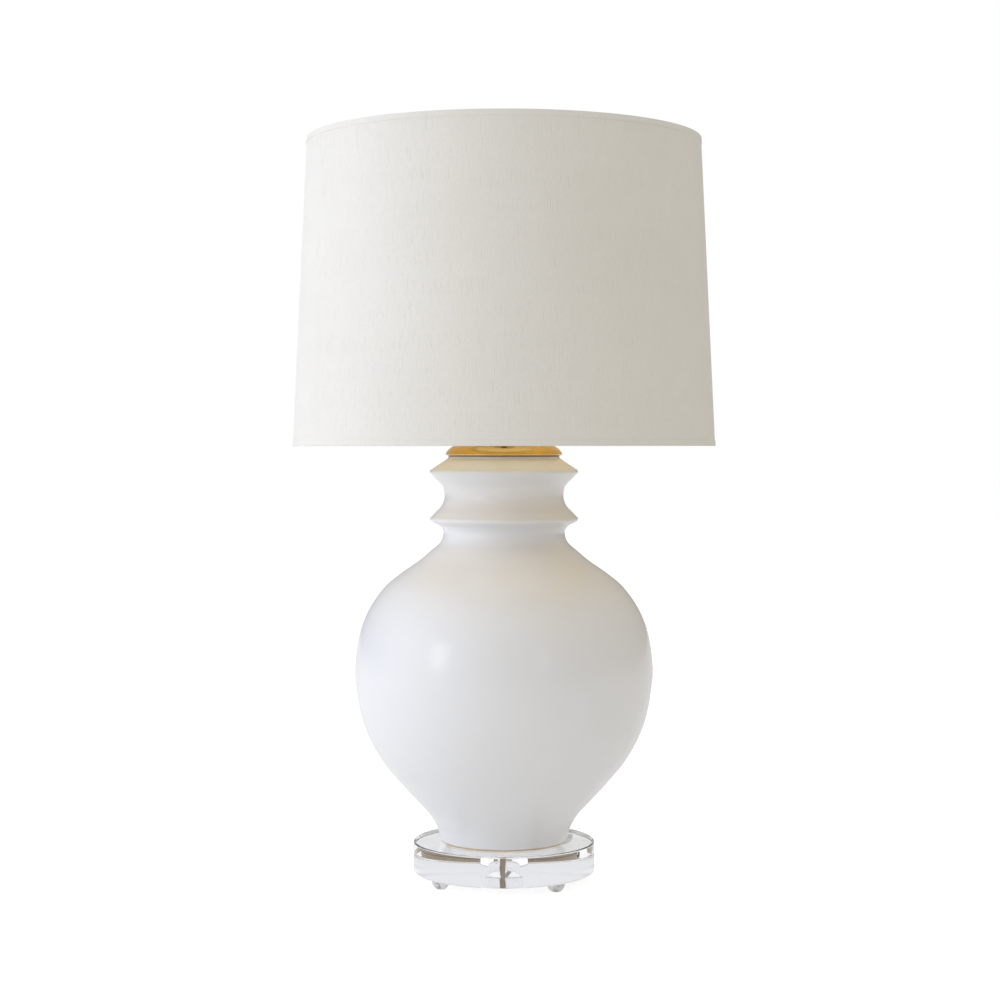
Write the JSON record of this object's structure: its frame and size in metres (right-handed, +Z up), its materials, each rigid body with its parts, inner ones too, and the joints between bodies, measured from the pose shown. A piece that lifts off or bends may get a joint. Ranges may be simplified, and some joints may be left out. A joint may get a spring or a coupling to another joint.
{
  "type": "table lamp",
  "caption": "Table lamp: white ceramic vase with a ridged collar on a clear acrylic disc, brass cap and harp, and a wide off-white linen drum shade.",
  "frame": {"origin": "centre of the four bumper feet, on the surface that the lamp stands on", "axes": "+Z up along the lamp's axis, -Y towards the front, +X to the right; the harp lies in the XZ plane and the cord leaves to the back"},
  "size_m": [0.3809, 0.381, 0.6839],
  "materials": {
    "clear_acrylic": "polished, water clear, with a faint grey-blue tint at the edge",
    "clear_bumper": "soft, clear to milky",
    "white_glaze": "satin-gloss white glaze, unglazed tan rim under the foot",
    "satin_brass": "polished and lacquered",
    "plated_steel": "zinc plated",
    "black_rubber": "matt",
    "fibre_sleeve": "plain fibre",
    "black_phenolic": "moulded, semi-gloss",
    "thread_shell": "drawn, bright",
    "frosted_glass": "frosted white",
    "black_glass": "fused, glossy",
    "solder": "dull",
    "clear_gold_cord": "translucent gold-brown vinyl over the conductors",
    "white_liner": "white styrene",
    "linen": "off-white plain-weave linen with vertical slubs",
    "tie_strap": "woven hook-and-loop strap",
    "nickel_blades": "bright"
  },
  "bodies": {
    "base": {"acrylic_disc": "clear_acrylic", "bumper_feet": "clear_bumper", "vase_body": "white_glaze", "vase_collar": "white_glaze", "bottom_washer": "plated_steel", "bottom_nut": "satin_brass", "end_bushing": "satin_brass", "lamp_pipe": "plated_steel", "inner_cord": "clear_gold_cord", "cap_gasket": "black_rubber", "vase_cap": "satin_brass", "brass_neck": "satin_brass", "harp_saddle": "satin_brass", "socket_cap": "satin_brass", "set_screw": "plated_steel", "socket_shell": "satin_brass", "socket_liner": "fibre_sleeve", "socket_core": "black_phenolic", "terminal_screws": "satin_brass", "screw_shell": "thread_shell", "centre_contact": "satin_brass", "harp_bow": "satin_brass", "harp_stud": "satin_brass", "cord_run": "clear_gold_cord", "cord_coil": "clear_gold_cord", "cord_tail": "clear_gold_cord", "cord_tie": "tie_strap", "plug_body": "clear_gold_cord", "plug_blades": "nickel_blades"},
    "bulb": {"bulb_glass": "frosted_glass", "bulb_base": "thread_shell", "bulb_insulator": "black_glass", "bulb_contact": "solder"},
    "switch": {"switch_knob": "black_phenolic"},
    "left_ferrule_body": {"left_ferrule": "satin_brass"},
    "right_ferrule_body": {"right_ferrule": "satin_brass"},
    "shade": {"spider_hub": "satin_brass", "spider_arms": "satin_brass", "top_ring": "satin_brass", "bottom_ring": "plated_steel", "shade_liner": "white_liner", "shade_linen": "linen", "top_trim": "linen", "bottom_trim": "linen"},
    "finial": {"finial_base": "satin_brass", "finial_knob": "satin_brass"}
  },
  "joints": [
    {"name": "shade_swivel", "type": "hinge", "parent": "base", "child": "shade", "pos_m": [0, 0, 0.6514], "axis": [0, 0, 1], "continuous": true},
    {"name": "finial_turn", "type": "hinge", "parent": "base", "child": "finial", "pos_m": [0, 0, 0.66], "axis": [0, 0, 1], "continuous": true},
    {"name": "switch_turn", "type": "hinge", "parent": "base", "child": "switch", "pos_m": [0, -0.02, 0.4351], "axis": [0, -1, 0], "continuous": true},
    {"name": "bulb_turn", "type": "hinge", "parent": "base", "child": "bulb", "pos_m": [0, 0, 0.5], "axis": [0, 0, 1], "continuous": true},
    {"name": "left_ferrule_slide", "type": "slide", "parent": "base", "child": "left_ferrule_body", "axis": [0, 0, 1], "range_m": [0, 0.014]},
    {"name": "right_ferrule_slide", "type": "slide", "parent": "base", "child": "right_ferrule_body", "axis": [0, 0, 1], "range_m": [0, 0.014]}
  ]
}
